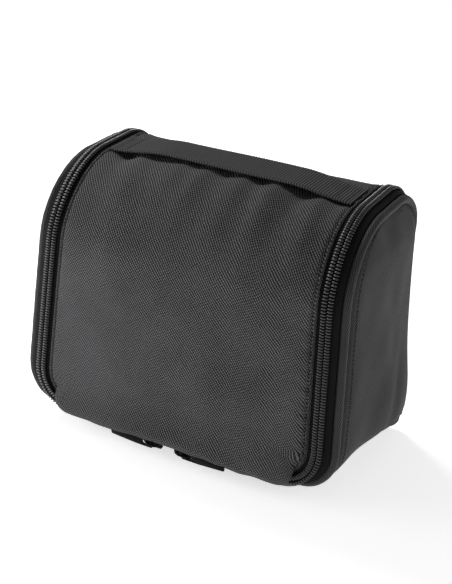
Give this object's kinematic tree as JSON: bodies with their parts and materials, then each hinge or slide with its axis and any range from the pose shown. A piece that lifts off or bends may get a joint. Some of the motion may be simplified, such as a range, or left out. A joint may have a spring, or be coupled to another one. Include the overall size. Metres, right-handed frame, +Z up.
{
  "type": "hanging toiletry bag",
  "caption": "Soft zipped wash bag with piped side gussets, a U-shaped zip round a lift-up front flap, a webbing handle and a stowed hanging hook.",
  "frame": {"origin": "on the table, under the middle of the flat base", "axes": "+X to the bag's right as its front is seen, -Y to its front, +Z up"},
  "size_m": [0.2392, 0.1352, 0.1988],
  "materials": {
    "front_fabric": "coarse twill-weave polyester, matt with a faint sheen",
    "gusset_fabric": "fine twill polyester, matt",
    "piping_fabric": "bias-cut twill over a cord, matt",
    "zip_tape": "woven polyester tape, matt",
    "zip_coil": "nylon coil, satin",
    "webbing": "ribbed polypropylene webbing",
    "lining": "thin plain-weave nylon",
    "mesh": "knitted mesh",
    "elastic": "woven elastic binding",
    "foam": "thin closed-cell foam",
    "slider_metal": "gloss black enamel",
    "hook_plastic": "moulded acetal, satin"
  },
  "bodies": {
    "bag": {"gusset_left": "gusset_fabric", "gusset_right": "gusset_fabric", "base_panel": "gusset_fabric", "back_panel": "front_fabric", "body_lining": "lining", "back_lining": "lining", "back_mesh_pocket": "mesh", "back_pocket_elastic": "elastic", "piping_left": "piping_fabric", "piping_right": "piping_fabric", "zip_tape_body_side": "zip_tape", "zip_coil_body_side": "zip_coil", "zip_end_tab_left": "zip_tape", "zip_end_tab_right": "zip_tape"},
    "flap": {"flap_panel": "front_fabric", "flap_foam": "foam", "flap_lining": "lining", "flap_mesh_pocket": "mesh", "flap_pocket_elastic": "elastic", "zip_tape_flap_side": "zip_tape", "zip_coil_flap_side": "zip_coil", "handle_webbing": "webbing", "hook_tab": "webbing"},
    "hook": {"hook": "hook_plastic"},
    "left_slider": {"slider_left": "slider_metal"},
    "right_slider": {"slider_right": "slider_metal"},
    "left_puller": {"puller_left": "slider_metal"},
    "right_puller": {"puller_right": "slider_metal"}
  },
  "joints": [
    {"name": "flap_fold", "type": "hinge", "parent": "bag", "child": "flap", "pos_m": [0, 0.06059, 0.17452], "axis": [-1, 0, 0], "range_deg": [0, 180]},
    {"name": "hook_swing", "type": "hinge", "parent": "flap", "child": "hook", "pos_m": [0, -0.05834, 0.074], "axis": [1, 0, 0], "range_deg": [0, 170]},
    {"name": "left_slider_slide", "type": "slide", "parent": "bag", "child": "left_slider", "axis": [-1, 0, 0], "range_m": [0, 0.049]},
    {"name": "right_slider_slide", "type": "slide", "parent": "bag", "child": "right_slider", "axis": [1, 0, 0], "range_m": [0, 0.049]},
    {"name": "left_puller_swing", "type": "hinge", "parent": "left_slider", "child": "left_puller", "pos_m": [-0.0118, -0.06842, 0.01075], "axis": [0, -0.2092, 0.9779], "range_deg": [0, 100]},
    {"name": "right_puller_swing", "type": "hinge", "parent": "right_slider", "child": "right_puller", "pos_m": [0.0118, -0.06842, 0.01075], "axis": [0, 0.2092, -0.9779], "range_deg": [0, 100]}
  ]
}
